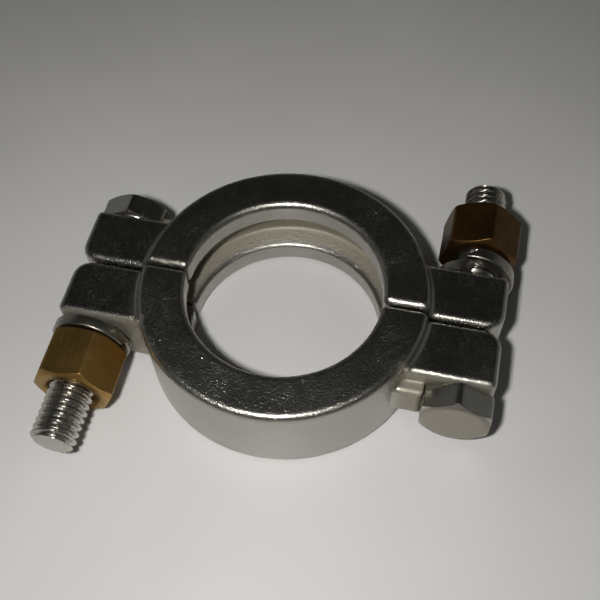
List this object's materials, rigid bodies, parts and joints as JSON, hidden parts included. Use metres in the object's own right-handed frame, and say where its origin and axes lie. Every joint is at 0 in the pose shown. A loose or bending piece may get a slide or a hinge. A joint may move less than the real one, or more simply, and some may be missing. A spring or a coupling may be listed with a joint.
{
  "type": "two-bolt high-pressure sanitary tube clamp",
  "caption": "Heavy two-bolt sanitary clamp: two cast steel half rings with a V groove, drawn together by hex bolts, spring lock washers and bronze nuts to hold a pair of ferrules.",
  "frame": {"origin": "on the tube axis, in the plane the ring stands on", "axes": "+Z along the tube axis; the two bolts run along Y and the halves part along Y; the lugs are at +X and -X"},
  "size_m": [0.097, 0.081, 0.021],
  "materials": {
    "cast_steel": "polished casting, tumbled, with fine scratches",
    "bolt_steel": "bright",
    "washer_steel": "satin",
    "bronze": "dull, machined"
  },
  "bodies": {
    "front": {"front_half": "cast_steel", "right_bolt": "bolt_steel", "left_lock_washer": "washer_steel"},
    "rear": {"rear_half": "cast_steel", "left_bolt": "bolt_steel", "right_lock_washer": "washer_steel"},
    "left_nut": {"left_nut": "bronze"},
    "right_nut": {"right_nut": "bronze"}
  },
  "joints": [
    {"name": "left_nut_turn", "type": "hinge", "parent": "front", "child": "left_nut", "pos_m": [-0.0396, 0, 0.0105], "axis": [0, -1, 0], "range_deg": [0, 2160]},
    {"name": "right_nut_turn", "type": "hinge", "parent": "rear", "child": "right_nut", "pos_m": [0.0396, 0, 0.0105], "axis": [0, 1, 0], "range_deg": [0, 2160]},
    {"name": "rear_slide", "type": "slide", "parent": "front", "child": "rear", "axis": [0, 1, 0], "range_m": [0, 0.00953]}
  ],
  "couplings": [
    {"joint": "left_nut_turn", "follows": "rear_slide", "rad_per_m": 3957.9},
    {"joint": "right_nut_turn", "follows": "rear_slide", "rad_per_m": 3957.9}
  ]
}
